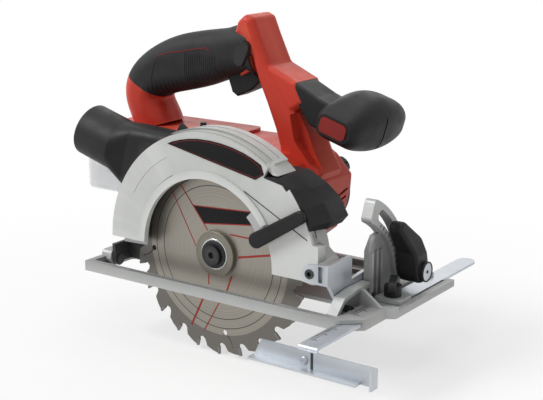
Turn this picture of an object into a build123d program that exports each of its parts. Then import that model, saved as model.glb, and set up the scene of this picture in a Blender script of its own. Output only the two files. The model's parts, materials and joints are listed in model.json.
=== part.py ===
from build123d import *
import os
from math import cos, pi, radians, sin

# Cordless circular saw. In the working frame the arbor is the Y axis and the blade lies in y = 0, with +X
# forward, +Y towards the motor and +Z up, in millimetres. Each piece is moved once, when it is written, so
# that the sole is at Z = 0 and the shoe is centred on Y = 0.

# Blade, arbor and gears
BLADE_R = 82.5
BLADE_T = 1.1
KERF = 1.7
TEETH = 24
BLADE_BORE_R = 10.0
CUT_DEPTH = 54.0
GEAR_MODULE = 1.0
GEAR_TEETH = 41
PINION_TEETH = 9
MOTOR_Z = GEAR_MODULE * (GEAR_TEETH + PINION_TEETH) / 2
TOOTH_T = 1.15
GEARCASE_Y1 = 36.0
GEAR_COVER_Y1 = 41.0
GEAR_SCREWS = ((-18, 41), (18, 41), (0, 50))
LOCK_Y, LOCK_Z = 29.0, 12.0

# Shoe
SOLE_Z = CUT_DEPTH - BLADE_R
PLATE_T = 3.0
PLATE_Z = SOLE_Z + PLATE_T
SHOE_X0, SHOE_X1 = -116.0, 147.0
SHOE_Y0, SHOE_Y1 = -26.0, 110.0
RAIL_H = 8.2
RAIL_W = 5.5
WINDOW_X0, WINDOW_X1 = -105.2, 112.0
WINDOW_Y1 = 20.0
SHOE_MID_Y = (SHOE_Y0 + SHOE_Y1) / 2

# Bevel pivot, quadrant and its clamp
BEVEL_Z = SOLE_Z + 6.0
BEVEL_RANGE = 45.0
PIN_R = 4.0
QUAD_X0, QUAD_X1 = 112.4, 121.0
SLOT_R = 74.0
SLOT_HALF = 4.5
BOLT_ANGLE = 11.5
BOLT_Y = SLOT_R * cos(radians(BOLT_ANGLE))
BOLT_Z = BEVEL_Z + SLOT_R * sin(radians(BOLT_ANGLE))
QUAD_SCREW_X = (QUAD_X0 + QUAD_X1) / 2
QUAD_SCREW_Y = (34.0, 92.0)
QUAD_FOOT_T = 3.0
QUAD_TOP = 68.0
BRACKET_X0, BRACKET_X1 = 108.5, 111.5
EAR_Y = ((-17.3, -14.3), (12.4, 15.4))
EAR_R = 6.8
LEVER_X0, LEVER_X1 = QUAD_X1 + 0.6, 140.0

# Depth pivot and its arc bracket
PIVOT_X, PIVOT_Z = 96.0, 5.5
DEPTH_PIN_R = 3.0
DEPTH_RANGE = 30.0
DEPTH_ARC_R = 158.0
DEPTH_BOLT_ANGLE = 182.0
DEPTH_BOLT_X = PIVOT_X + DEPTH_ARC_R * cos(radians(DEPTH_BOLT_ANGLE))
DEPTH_BOLT_Z = PIVOT_Z + DEPTH_ARC_R * sin(radians(DEPTH_BOLT_ANGLE))
ARC_Y0, ARC_Y1 = 13.2, 16.2
DEPTH_FOOT_X0, DEPTH_FOOT_X1 = -104.4, -101.4

# Guards
GUARD_R = 96.0
GUARD_WALL = 3.0
GUARD_Y0, GUARD_Y1 = -14.0, 12.0
WINDOW_R = 61.0
GUARD_FOOT_Z = 1.5
NOSE_FOOT_Z = -2.0
GUARD_BOSS_Z = -24.0
LOWER_R = 87.0
LOWER_START, LOWER_END = 42.0, 182.0
HUB_R = 25.8
PORT_END = (-127.0, 82.0)
PORT_RISE = 16.5
PORT_R = 21.2
PORT_BORE_R = 18.0
PORT_LEN = 34.0
COVER_Y0, COVER_RIDGE_Y, COVER_Y1 = -13.6, 2.4, 24.0
COVER_R = LOWER_R + 1.5
COVER = ((54.5, 71.5), (68, 71), (84, 62.5), (95, 54), (102.5, 41), (97, 34.5), (60, 40))
COVER_NEAR = ((54.2, 70.2), (66, 70), (78.5, 64.6), (88.5, 51.5), (95, 39.5), (93, 35.5), (60, 40))
NOTCH = ((53.4, 69.2), (77.2, 64.2), (99, 76), (66, 96))
LIP_R = GUARD_R + 3.4
LIP_START, LIP_END = 15.0, 40.0
RIB_START, RIB_END = 54.0, 117.0
RIB_H = 1.6

# Fence
BAR_X0, BAR_X1 = 124.0, 139.0
BAR_Z0 = PLATE_Z + 0.1
BAR_T = 2.0
BAR_Y0, BAR_Y1 = -71.0, 168.0
KNOB_Y = 41.0
KNOB_SEAT = 5.6
FENCE_X0, FENCE_X1 = 88.0, 186.0
FENCE_T = 1.6

# Motor
CASE_R = 33.0
CASE_WALL = 3.0
CASE_Y0, CASE_Y1 = 41.4, 126.0
CAP_Y1 = 143.0
BRUSH_Y = 134.0
BRUSH_ANGLE = 40.0

# Handle
HANDLE_Y = 58.0
SHELL = 3.0
FOOT_X0, FOOT_X1 = -138.0, -20.0
FOOT_Y0, FOOT_Y1 = 26.0, 90.0
FOOT_Z0, FOOT_Z1 = 72.0, 82.0
TRIGGER_X0, TRIGGER_X1 = -27.0, 4.0
TRIGGER_HALF = 8.0
BUTTON_X, BUTTON_Z = -4.0, 149.0
KEY_X, KEY_Z = -28.0, 79.0
# Grip stations: centre x, centre z, heading of the path in degrees, height and width of the section.
GRIP_STATIONS = (
    (0, 150, 190, 44, 38),
    (-28, 146, 191, 39, 36),
    (-52, 140, 193, 44, 35),
    (-76, 134, 196, 45, 36),
    (-98, 126, 206, 41, 37),
    (-113, 113, 240, 39, 38),
    (-113, 98, 272, 38, 39),
    (-106, 79, 288, 40, 40),
)
COLUMN = (
    (-14.5, 164), (-11.5, 173), (-4, 179), (3, 176), (8.5, 163), (18, 143), (28, 130), (42, 108), (51, 91),
    (57, 77), (66, 62), (62, 48), (30, 48), (28, 80), (24, 93), (16, 112), (9, 127), (2, 146), (-8, 160))
SHOULDER = ((4, 152), (19.5, 141), (43, 130.5), (51.5, 115), (38, 107), (20, 122))
POCKET = ((39, 106), (43.5, 86), (58, 69), (74, 58), (66, 90), (55, 110))
POCKET_DEPTH = 8.0
BODY = (
    (-38, 54), (-38, 79.5), (0, 79.5), (16, 76.5), (40, 77), (52, 70), (66, 55), (65, 44), (40, 42),
    (-30, 42))
CHEEK = ((24, 60), (52, 68), (65.5, 53), (64.5, 42), (60, 25), (53, 10), (42, 1), (28, 4), (22, 30))
COLUMN_Y0, COLUMN_Y1 = HANDLE_Y - 18, HANDLE_Y + 18
BODY_Y0, BODY_Y1 = 25.5, 90.0
SHOULDER_Y0, SHOULDER_Y1 = 41.0, 75.0
CHEEK_Y0 = 42.0
# Front handle stations: y, centre x, centre z, length and height of the section, which leans forward.
BULB_STATIONS = (
    (32, 82.8, 101.3, 29, 16),
    (36, 83, 101.3, 35, 22),
    (52, 84, 101.5, 40, 36),
    (70, 85, 101.5, 42, 43),
    (90, 86, 100.5, 39, 39),
    (104, 87, 99.5, 31, 29),
    (112, 87.5, 99, 17, 16),
)
BULB_LEAN = 17.0
SEAM_Y = 70.0
VENT_Y = 75.0
VENT_Z = (28.0, 34.5, 41.0)
VENT_HALF = 9.0
VENT_SLANT = 18.0

# Battery
PACK_X0, PACK_X1 = -155.0, -45.5
PACK_Y0, PACK_Y1 = 20.0, 96.0
PACK_Z0, PACK_Z1 = 25.5, 62.5
PACK_WALL = 1.4
PACK_CORNER = 5.0
PACK_SPLIT_Z = 46.0
CELL_R = 9.0
CELL_LEN = 65.0

# Clearances
GAP = 0.3
RUN = 0.06


def slab(outline, y0, y1):
    """Solid between two y planes, with its outline drawn in x and z."""
    return Pos(0, y1, 0) * extrude(Plane.XZ * outline, amount=y1 - y0)


def plate_x(outline, x0, x1):
    """Solid between two x planes, with its outline drawn in y and z."""
    return Pos(x0, 0, 0) * extrude(Plane.YZ * outline, amount=x1 - x0)


def layer(outline, z0, z1):
    """Solid between two z planes, with its outline drawn in x and y."""
    return Pos(0, 0, z0) * extrude(outline, amount=z1 - z0)


def block(x0, x1, y0, y1, z0, z1):
    """Box given by its six faces."""
    return Pos((x0 + x1) / 2, (y0 + y1) / 2, (z0 + z1) / 2) * Box(x1 - x0, y1 - y0, z1 - z0)


def at(r, angle):
    """Point of a sketch at a radius and an angle."""
    return (r * cos(radians(angle)), r * sin(radians(angle)))


def disc(u, v, r):
    """Circle drawn at a point of a sketch."""
    return Pos(u, v) * Circle(r)


def ring(r_in, r_out):
    """Flat ring about the sketch's origin."""
    return Circle(r_out) - Circle(r_in)


def polygon(*points):
    """Closed outline with straight sides."""
    return make_face(Polyline(*points, close=True))


def soft_polygon(radius, *points):
    """Closed outline with every corner rounded."""
    outline = polygon(*points)
    return fillet(outline.vertices(), radius)


def sector(r_in, r_out, start, end):
    """Ring sector between two angles, in degrees from the first axis to the second."""
    outer = CenterArc((0, 0), r_out, start, end - start)
    inner = CenterArc((0, 0), r_in, start, end - start)
    sides = [Line(outer @ 0, inner @ 0), Line(outer @ 1, inner @ 1)]
    return make_face([outer, inner] + sides)


def arc_slot(r, half, start, end):
    """Round-ended slot along an arc about the sketch's origin."""
    slot = sector(r - half, r + half, start, end)
    for angle in (start, end):
        slot += disc(*at(r, angle), half)
    return slot


def bar(u0, v0, r0, u1, v1, r1):
    """Tapered bar with round ends between two points of a sketch."""
    return make_hull((disc(u0, v0, r0) + disc(u1, v1, r1)).edges())


def rod_y(x, z, r, y0, y1):
    """Round rod along Y."""
    return slab(disc(x, z, r), y0, y1)


def rod_x(y, z, r, x0, x1):
    """Round rod along X."""
    return plate_x(disc(y, z, r), x0, x1)


def rod_z(x, y, r, z0, z1):
    """Round rod along Z."""
    return layer(disc(x, y, r), z0, z1)


def soften_y(solid, radius):
    """Round the edges of the two end faces of a solid extruded along Y."""
    ends = solid.faces().sort_by(Axis.Y)
    return fillet(ends[0].edges() + ends[-1].edges(), radius)


def soften_far(solid, radius):
    """Round the outer edge of the end face furthest along +Y."""
    return fillet(solid.faces().sort_by(Axis.Y)[-1].edges(), radius)


# Shoe, bevel and fence


def fence_channel():
    """Space that the fence bar slides in."""
    top = BAR_Z0 + BAR_T + GAP
    return block(BAR_X0 - GAP, BAR_X1 + GAP, SHOE_Y0 - 2, SHOE_Y1 + 2, PLATE_Z, top)


def make_shoe():
    """Cast sole plate with rails, a blade window, bevel bosses and the fence channel."""
    corner = 14.0
    nose_x = 141.0
    step_y = 15.0
    outline = polygon(
        (SHOE_X0, SHOE_Y0),
        (nose_x - corner, SHOE_Y0),
        (nose_x, SHOE_Y0 + corner - 2),
        (nose_x, step_y),
        (SHOE_X1, step_y + 4),
        (SHOE_X1, SHOE_Y1),
        (SHOE_X0, SHOE_Y1),
    )
    window = Pos((WINDOW_X0 + WINDOW_X1) / 2, (SHOE_Y0 + RAIL_W + WINDOW_Y1) / 2) * RectangleRounded(
        WINDOW_X1 - WINDOW_X0, WINDOW_Y1 - SHOE_Y0 - RAIL_W, 4)
    shoe = layer(outline, SOLE_Z, PLATE_Z)
    rim = outline - offset(outline, -RAIL_W)
    shoe += layer(rim, SOLE_Z, SOLE_Z + RAIL_H)
    nose = polygon(
        (WINDOW_X1, SHOE_Y0),
        (nose_x - corner, SHOE_Y0),
        (nose_x, SHOE_Y0 + corner - 2),
        (nose_x, step_y),
        (WINDOW_X1, step_y),
    )
    shoe += layer(nose, SOLE_Z, SOLE_Z + RAIL_H)
    shoe -= layer(window, SOLE_Z - 1, SOLE_Z + RAIL_H + 1)
    shoe -= block(BAR_X1 - 10, SHOE_X1 + 1, step_y + 8, SHOE_Y1 + 1, PLATE_Z + 2.4, SOLE_Z + RAIL_H + 1)
    for start, end in ((-70, 10), (18, 72)):
        shoe -= block(start, end, SHOE_Y0 + 1.8, SHOE_Y0 + 3.4, SOLE_Z + RAIL_H - 1.2, SOLE_Z + RAIL_H + 1)
    arch = polygon((-20, PLATE_Z), (-20, -20.5), (-9, -10), (6, -8), (28, -8), (28, PLATE_Z))
    shoe += plate_x(arch, QUAD_X0, QUAD_X1)
    shoe -= plate_x(offset(arch, -3.2), QUAD_X0 + 3, QUAD_X1 + 1)
    gusset = polygon((QUAD_X1 - 1, -9), (QUAD_X1 + 3, -9), (139, -20), (139, SOLE_Z), (QUAD_X1 - 1, SOLE_Z))
    shoe += slab(gusset, step_y - 4, step_y - 1)
    rear_boss = soft_polygon(3, (-9, PLATE_Z), (-6, BEVEL_Z + 7), (6, BEVEL_Z + 7), (9, PLATE_Z))
    shoe += plate_x(rear_boss, SHOE_X0 + 1, WINDOW_X0) + block(
        SHOE_X0, WINDOW_X0, -12, 12, SOLE_Z, PLATE_Z)
    shoe += block(BAR_X0 - 2.6, BAR_X1 + 3, KNOB_Y - 9, KNOB_Y + 9, SOLE_Z, PLATE_Z + KNOB_SEAT)
    for rib_y in (64, 86):
        shoe += block(SHOE_X0, BAR_X0 - 14, rib_y, rib_y + 3, SOLE_Z, SOLE_Z + RAIL_H - 2)
    shoe -= fence_channel()
    pin_hole = PIN_R + 0.02
    shoe -= rod_x(0, BEVEL_Z, pin_hole, WINDOW_X1 - 1, QUAD_X1 + 2)
    shoe -= rod_x(0, BEVEL_Z, pin_hole, SHOE_X0 + 4, WINDOW_X0 + 1)
    shoe -= rod_z((BAR_X0 + BAR_X1) / 2, KNOB_Y, 3 + RUN, BAR_Z0, PLATE_Z + 12)
    for y in QUAD_SCREW_Y:
        shoe -= rod_z(QUAD_SCREW_X, y, 2.02, SOLE_Z + 0.5, PLATE_Z + 1)
    return shoe


def make_bevel_quadrant():
    """Upright casting with the arc slot that the bevel bolt runs in."""
    centre = Pos(0, BEVEL_Z)
    band = sector(SLOT_R - 9, SLOT_R + 9, 4, QUAD_TOP)
    band = centre * fillet(band.vertices().sort_by(Axis.Y)[-2:], 3.5)
    web = polygon((30.5, PLATE_Z), (30.5, 14), (38, 24), (50, 26), (76, -6), (78, PLATE_Z))
    slot = centre * arc_slot(SLOT_R, SLOT_HALF, BOLT_ANGLE - 0.5, BOLT_ANGLE + BEVEL_RANGE + 0.5)
    quadrant = plate_x(band, QUAD_X0, QUAD_X1)
    quadrant += plate_x(web, QUAD_X0, QUAD_X0 + 4.5)
    quadrant -= block(QUAD_X0 - 1, QUAD_X1 + 1, 0, 120, SOLE_Z - 10, PLATE_Z)
    quadrant += block(QUAD_X0, QUAD_X1, 30.5, 98, PLATE_Z, PLATE_Z + QUAD_FOOT_T)
    for rib_y in (31.5, 38, 44.5):
        quadrant += block(QUAD_X0, QUAD_X0 + 6.5, rib_y, rib_y + 2.5, PLATE_Z, 13)
    quadrant -= plate_x(slot, QUAD_X0 - 1, QUAD_X1 + 1)
    for y in QUAD_SCREW_Y:
        quadrant -= rod_z(QUAD_SCREW_X, y, 2.02, PLATE_Z - 1, PLATE_Z + QUAD_FOOT_T + 1)
        quadrant -= rod_z(QUAD_SCREW_X, y, 4, PLATE_Z + QUAD_FOOT_T, PLATE_Z + 8)
    return quadrant


def make_quadrant_screws():
    """Two screws that hold the quadrant to the shoe."""
    head_z = PLATE_Z + QUAD_FOOT_T
    screws = []
    for y in QUAD_SCREW_Y:
        screw = rod_z(QUAD_SCREW_X, y, 2, SOLE_Z + 0.7, head_z)
        screw += rod_z(QUAD_SCREW_X, y, 3.6, head_z, head_z + 2.2)
        socket = Pos(QUAD_SCREW_X, y) * RegularPolygon(1.6, 6)
        screws.append(screw - layer(socket, head_z + 0.8, head_z + 3))
    return Compound(screws)


def make_bevel_pivot_pins():
    """Front and rear pins that the saw tilts on."""
    front = rod_x(0, BEVEL_Z, PIN_R, BRACKET_X0 - 1, QUAD_X1 - 0.5)
    rear = rod_x(0, BEVEL_Z, PIN_R, SHOE_X0 + 5, DEPTH_FOOT_X1 + 1)
    return Compound([front, rear])


def make_tilt_bracket():
    """Zinc plated front bracket: two ears on the depth pin, a web on the bevel pin and an arm to the bolt."""
    y0, y1 = EAR_Y[0][0], EAR_Y[1][1]
    web = polygon((y0, 14), (y1, 14), (y1, -6), (6, -18), (-6, -18), (-6, -14), (y0, 2))
    web += disc(0, BEVEL_Z, 5.6) + polygon((-5.6, BEVEL_Z), (5.6, BEVEL_Z), (6, -17), (-6, -17))
    web += bar(8, -11, 6.5, BOLT_Y, BOLT_Z, 8.5)
    bracket = plate_x(web, BRACKET_X0, BRACKET_X1)
    ear = disc(PIVOT_X, PIVOT_Z, EAR_R)
    ear_low, ear_high = PIVOT_Z - EAR_R, PIVOT_Z + EAR_R
    ear += polygon((PIVOT_X, ear_low), (BRACKET_X1, ear_low), (BRACKET_X1, 14), (PIVOT_X, ear_high))
    for start, end in EAR_Y:
        bracket += slab(ear, start, end)
    bracket -= rod_x(0, BEVEL_Z, PIN_R + RUN, BRACKET_X0 - 1, BRACKET_X1 + 1)
    bracket -= rod_x(BOLT_Y, BOLT_Z, PIN_R + 0.02, BRACKET_X0 - 1, BRACKET_X1 + 1)
    bracket -= rod_y(PIVOT_X, PIVOT_Z, DEPTH_PIN_R + 0.02, y0 - 1, y1 + 1)
    bracket -= block(BRACKET_X0 - 5, BRACKET_X0 - 1.5, y0 - 1, y1 + 1, PIVOT_Z - 5, PIVOT_Z + 7)
    return bracket


def make_depth_bracket():
    """Rear bracket: an upright arc for the depth clamp and a foot on the rear bevel pin."""
    centre = Pos(PIVOT_X, PIVOT_Z)
    low = DEPTH_BOLT_ANGLE
    arc = centre * sector(DEPTH_ARC_R - 9, DEPTH_ARC_R + 9, low - DEPTH_RANGE - 4, low + 5)
    web = polygon((DEPTH_FOOT_X0, -25), (DEPTH_FOOT_X0, -9), (-74, -9), (-52, -12), (-54, -25))
    slot = centre * arc_slot(DEPTH_ARC_R, SLOT_HALF, low - DEPTH_RANGE - 0.3, low + 0.3)
    bracket = slab(arc + web, ARC_Y0, ARC_Y1)
    foot = polygon((-5.6, BEVEL_Z), (-5.6, -9), (ARC_Y1, -9), (ARC_Y1, -25), (4, -25))
    foot += disc(0, BEVEL_Z, 5.6)
    bracket += plate_x(foot, DEPTH_FOOT_X0, DEPTH_FOOT_X1)
    bracket -= slab(slot, ARC_Y0 - 1, ARC_Y1 + 1)
    return bracket - rod_x(0, BEVEL_Z, PIN_R + RUN, DEPTH_FOOT_X0 - 1, DEPTH_FOOT_X1 + 1)


def make_bevel_bolt():
    """Clamp bolt through the tilt bracket's arm and the quadrant's slot."""
    bolt = rod_x(BOLT_Y, BOLT_Z, PIN_R, BRACKET_X0 - 0.5, LEVER_X1 + 1)
    bolt += rod_x(BOLT_Y, BOLT_Z, 7, BRACKET_X0 - 4, BRACKET_X0)
    return bolt + rod_x(BOLT_Y, BOLT_Z, 7.5, LEVER_X1 + 0.4, LEVER_X1 + 3)


def make_bevel_lever():
    """Curved paddle on the bevel bolt that clamps the tilt."""
    tip_y, tip_z = BOLT_Y - 18, BOLT_Z + 35
    bend_y, bend_z = BOLT_Y - 5, BOLT_Z + 20
    arm = bar(BOLT_Y, BOLT_Z, 9.5, bend_y, bend_z, 9) + bar(bend_y, bend_z, 9, tip_y, tip_z, 6)
    slope = polygon((LEVER_X1 + 1, BOLT_Z + 10), (LEVER_X1 + 1, 60), (LEVER_X0 + 3, 60))
    lever = plate_x(arm, LEVER_X0, LEVER_X1) - slab(slope, BOLT_Y - 60, BOLT_Y + 60)
    lever = fillet(lever.edges(), 3)
    return lever - rod_x(BOLT_Y, BOLT_Z, PIN_R + RUN, LEVER_X0 - 1, LEVER_X1 + 1)


def make_depth_pivot_pin():
    """Headed pin that the saw swings on to set the depth."""
    start, end = EAR_Y[0][0], EAR_Y[1][1]
    pin = rod_y(PIVOT_X, PIVOT_Z, DEPTH_PIN_R, start, end + 2)
    head = rod_y(PIVOT_X, PIVOT_Z, 3.6, start - 0.8, start)
    socket = slab(Pos(PIVOT_X, PIVOT_Z) * RegularPolygon(1.9, 6), start - 1, start + 1.4)
    clip = rod_y(PIVOT_X, PIVOT_Z, 5, end, end + 1.5)
    return pin + head + clip - socket


def make_fence_bar():
    """Flat bar that slides in the shoe and turns down to the fence plate."""
    fold = 2.5
    flat = block(BAR_X0, BAR_X1, BAR_Y0, BAR_Y1 - 7.5, BAR_Z0, BAR_Z0 + BAR_T)
    flat += rod_z((BAR_X0 + BAR_X1) / 2, BAR_Y1 - 7.5, (BAR_X1 - BAR_X0) / 2, BAR_Z0, BAR_Z0 + BAR_T)
    drop = block(BAR_X0, BAR_X1, BAR_Y0 - BAR_T, BAR_Y0, BAR_Z0 - 13, BAR_Z0 + BAR_T)
    solid = flat + drop
    edge = solid.edges().filter_by(Axis.X).group_by(Axis.Z)[-1].sort_by(Axis.Y)[0]
    return fillet(edge, fold - 0.6)


def make_fence_plate():
    """Folded guide plate: an upright face, a foot turned outwards and a front end turned out."""
    y1 = BAR_Y0 - BAR_T
    y0 = y1 - FENCE_T
    top, low = BAR_Z0 - 0.6, BAR_Z0 - 14.2
    foot = 6.5
    face = polygon((FENCE_X0, low), (FENCE_X0 + 7, top), (FENCE_X1, top), (FENCE_X1, low))
    plate = slab(face, y0, y1)
    plate += block(FENCE_X0, FENCE_X1 - 12, y0 - foot, y1, low, low + FENCE_T)
    plate += block(FENCE_X1 - FENCE_T, FENCE_X1, y0 - foot, y1, low, top)
    return plate


def make_fence_knob():
    """Wing knob with a moulded-in screw that clamps the fence bar."""
    x = (BAR_X0 + BAR_X1) / 2
    base = PLATE_Z + KNOB_SEAT + 0.4
    knob = rod_z(x, KNOB_Y, 3, BAR_Z0 + BAR_T + 0.15, base)
    knob += rod_z(x, KNOB_Y, 6.5, base, base + 8)
    reach = 8.0
    wing = bar(-reach, base + 9, 3.8, reach, base + 9, 3.8)
    wings = Rot(0, 0, 115) * slab(wing, -2.6, 2.6)
    return knob + Pos(x, KNOB_Y, 0) * wings


# Guards and dust port


def cover_zone(grow):
    """Part of the hood that the black nose stands in for, seen from the side."""
    return offset(polygon(*COVER), grow) - Circle(COVER_R - grow)


def near_plate(grow):
    """Near wall of the hood with the lip beside the nose and the notch at its start, seen from the side."""
    wall = Circle(GUARD_R + grow) + sector(GUARD_R - 1, LIP_R + grow, LIP_START - grow, LIP_END)
    return wall - offset(polygon(*NOTCH), -grow)


def rim_rib(grow):
    """Raised band along the top of the hood."""
    band = sector(GUARD_R - 2, GUARD_R + RIB_H + grow, RIB_START - grow, RIB_END + grow)
    return slab(band, GUARD_Y0 + 9 - grow, GUARD_Y1 + grow)


def port_plane(along):
    """Plane square to the dust port's axis, at a distance back from its mouth."""
    rise = radians(PORT_RISE)
    out = Vector(-cos(rise), 0, sin(rise))
    origin = Vector(PORT_END[0], 0, PORT_END[1]) - out * along
    return Plane(origin=origin, x_dir=(0, 1, 0), z_dir=out)


def make_upper_guard():
    """Cast hood round the blade, open on the rail side in a round window."""
    y0, y1 = GUARD_Y0, GUARD_Y1
    inner0, inner1 = y0 + GUARD_WALL, y1 - GUARD_WALL
    hood = slab(Circle(GUARD_R), inner0, y1) - slab(Circle(GUARD_R - GUARD_WALL), inner0 - 1, inner1)
    hood -= slab(cover_zone(0.25), inner0 - 1, y1 + 3)
    hood += slab(near_plate(0), y0, inner0)
    hood -= block(-200, 57, y0 - 1, y1 + 1, -200, GUARD_FOOT_Z)
    hood -= block(56, 200, y0 - 1, y1 + 1, -200, NOSE_FOOT_Z)
    hood -= slab(Circle(WINDOW_R), y0 - 1, inner0 + 0.5)
    hood += slab(sector(WINDOW_R, WINDOW_R + 6, 32, 178), y0 - 1.5, y0 + 1)
    lug = disc(PIVOT_X, PIVOT_Z, 9) + polygon((86.5, -2), (96, -3.5), (100, 13.5), (88, 24))
    hood += slab(lug, y0, y1)
    hood += slab(polygon((90, 32), (95.8, 26), (101, 25), (101, 13.5), (92, 8)), y0, y0 + 10)
    boss = Circle(34) - Pos(0, GUARD_BOSS_Z - 50) * Rectangle(100, 100)
    hood += slab(boss + disc(DEPTH_BOLT_X, DEPTH_BOLT_Z, 9), inner1, y1)
    hood += rim_rib(0)
    chip_bore = extrude(port_plane(30) * Circle(PORT_BORE_R - 1), amount=-50)
    hood -= chip_bore & block(-200, 0, inner0, inner1, 0, 200)
    hood -= rod_y(0, 0, HUB_R + 0.2, inner1 - 1, y1 + 1)
    hood -= rod_y(PIVOT_X, PIVOT_Z, DEPTH_PIN_R + RUN, y0 - 1, y1 + 1)
    hood -= rod_y(DEPTH_BOLT_X, DEPTH_BOLT_Z, PIN_R + 0.02, inner1 - 1, y1 + 1)
    return hood


def section_y(outline, y):
    """Outline drawn in x and z, set at a y plane."""
    return Pos(0, y, 0) * (Plane.XZ * outline)


def make_front_cover():
    """Hollow black nose in the front of the hood, with a slanted near side."""
    wall = 2.5
    near = section_y(polygon(*COVER_NEAR), COVER_Y0)
    cover = loft([near, section_y(polygon(*COVER), COVER_RIDGE_Y)], ruled=True)
    cover += slab(polygon(*COVER), COVER_RIDGE_Y, COVER_Y1)
    cover -= slab(offset(polygon(*COVER), -wall), COVER_RIDGE_Y, COVER_Y1 - wall)
    cover -= slab(Circle(COVER_R), COVER_Y0 - 1, COVER_Y1 + 1)
    return cover - slab(near_plate(0.25), GUARD_Y0 - 1, GUARD_Y0 + GUARD_WALL + 0.25)


def make_dust_port():
    """Round chip outlet with a flared foot that hugs the hood."""
    tube = extrude(port_plane(0) * Circle(PORT_R), amount=-PORT_LEN)
    collar = port_plane(PORT_LEN) * RectangleRounded(2 * PORT_R, 2 * PORT_R, PORT_R - 0.5)
    neck = port_plane(48) * (Pos(0, 1) * RectangleRounded(28.4, 50.5, 9))
    waist = port_plane(60) * (Pos(0, 2) * RectangleRounded(27, 58, 8))
    toe = port_plane(85) * (Pos(0, -6.5) * RectangleRounded(25, 53, 8))
    flare = loft([collar, neck, waist, toe], ruled=True)
    bore = extrude(port_plane(-1) * Circle(PORT_BORE_R), amount=-PORT_LEN)
    throat_start = port_plane(PORT_LEN - 1) * RectangleRounded(35.6, 35.6, 17.5)
    throat_mid = port_plane(48) * RectangleRounded(23.6, 36, 9)
    throat = loft([throat_start, throat_mid, port_plane(70) * RectangleRounded(19, 34, 5)], ruled=True)
    port = tube + flare - bore - throat
    return port - slab(Circle(GUARD_R + 0.25), -40, 40) - rim_rib(0.25)


def make_lower_guard():
    """Swinging guard: a hub on the gear housing, a wall each side of the blade and a rim."""
    far0, far1 = 2.6, 4.6
    near0, near1 = -9.5, -8.0
    guard = slab(ring(HUB_R + RUN, HUB_R + 5), far0, far1)
    guard += slab(sector(HUB_R + 3, LOWER_R, LOWER_START, LOWER_END), far0, far1)
    guard += slab(sector(LOWER_R - 1.6, LOWER_R, LOWER_START, LOWER_END), near0, far1)
    guard += slab(sector(63, LOWER_R, LOWER_START, LOWER_END), near0, near1)
    arm = sector(50, 74, 19, LOWER_START + 4)
    return guard + slab(arm, near0, near1)


def make_guard_lever():
    """Black finger lever that passes through the window to the lower guard."""
    y0, y1 = GUARD_Y0 - 6.5, GUARD_Y0 - 1.9
    lever = soften_y(slab(bar(50, 23, 6, 88, 46, 5), y0, y1), 1.6)
    return lever + rod_y(49.2, 23.6, 4.6, y1 - 1, -9.5)


def make_guard_spring():
    """Flat spiral spring that closes the lower guard."""
    turns = 3
    wire = 0.6
    step = 1.5
    r = HUB_R + 1.6
    spring = None
    for half in range(2 * turns):
        centre = step / 4 if half % 2 else -step / 4
        start = 180 if half % 2 else 0
        piece = Pos(centre, 0) * sector(r - wire / 2, r + wire / 2, start, start + 180)
        spring = piece if spring is None else spring + piece
        r += step / 2
    return slab(spring, 5.2, 8.4)


def make_guard_retaining_ring():
    """Thin ring that keeps the lower guard on its hub."""
    return slab(ring(HUB_R - 4, HUB_R + 3), 1.4, 2.4)


# Blade and gears


def make_saw_blade():
    """Toothed disc with a bore and four expansion slots."""
    points = []
    pitch = 360 / TEETH
    for tooth in range(TEETH):
        a = -tooth * pitch
        points += [at(BLADE_R - 0.5, a), at(BLADE_R - 1.6, a - 4), at(BLADE_R - 3.4, a - 8)]
        points += [at(BLADE_R - 8.4, a - 10), at(BLADE_R - 9.8, a - 12), at(BLADE_R - 8.6, a - 14)]
    blade = polygon(*points) - Circle(BLADE_BORE_R)
    for tooth in range(TEETH):
        blade -= tip_outline(tooth)
    for slot in range(4):
        a = slot * 90 + 6
        blade -= disc(*at(64, a), 2.2)
        blade -= arc_strip(64, 76, a, 0.8)
    return slab(blade, -BLADE_T / 2, BLADE_T / 2)


def arc_strip(r0, r1, angle, width):
    """Thin curved strip that leans forward as it goes out."""
    lean = 5.0
    path = ThreePointArc(at(r0, angle), at((r0 + r1) / 2, angle + lean * 0.8), at(r1, angle + lean))
    return trace(path, width)


def tip_outline(tooth):
    """Carbide tip on the leading face of one tooth."""
    tip = polygon((BLADE_R - 6.5, -0.6), (BLADE_R, -0.4), (BLADE_R - 0.1, 1.5), (BLADE_R - 6.3, 1.5))
    return Rot(0, 0, -tooth * 360 / TEETH) * tip


def make_carbide_tips():
    """Carbide tips brazed into the teeth."""
    return Compound([slab(tip_outline(tooth), -KERF / 2, KERF / 2) for tooth in range(TEETH)])


def gear_outline(teeth, turn):
    """Straight-flanked gear with a tooth centred on the given angle."""
    pitch_r = GEAR_MODULE * teeth / 2
    tip_r = pitch_r + 0.8
    root_r = pitch_r - 1.3
    points = []
    for tooth in range(teeth):
        a = turn + tooth * 360 / teeth
        half = 90 * TOOTH_T / (pi * pitch_r)
        points += [at(root_r, a - 1.35 * half), at(pitch_r, a - half), at(tip_r, a - 0.45 * half)]
        points += [at(tip_r, a + 0.45 * half), at(pitch_r, a + half), at(root_r, a + 1.35 * half)]
    return polygon(*points)


def make_drive_gear():
    """Large gear on the spindle."""
    gear = slab(gear_outline(GEAR_TEETH, 90) - Circle(7.52), 21, 31)
    return gear - slab(ring(10.5, 16.5), 20, 23.5) - slab(ring(10.5, 16.5), 28.5, 32)


def make_pinion():
    """Small gear on the rotor shaft."""
    half_pitch = 180 / PINION_TEETH
    outline = gear_outline(PINION_TEETH, 270 + half_pitch) - Circle(2.52)
    return slab(Pos(0, MOTOR_Z) * outline, 20.5, 31.5)


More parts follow.
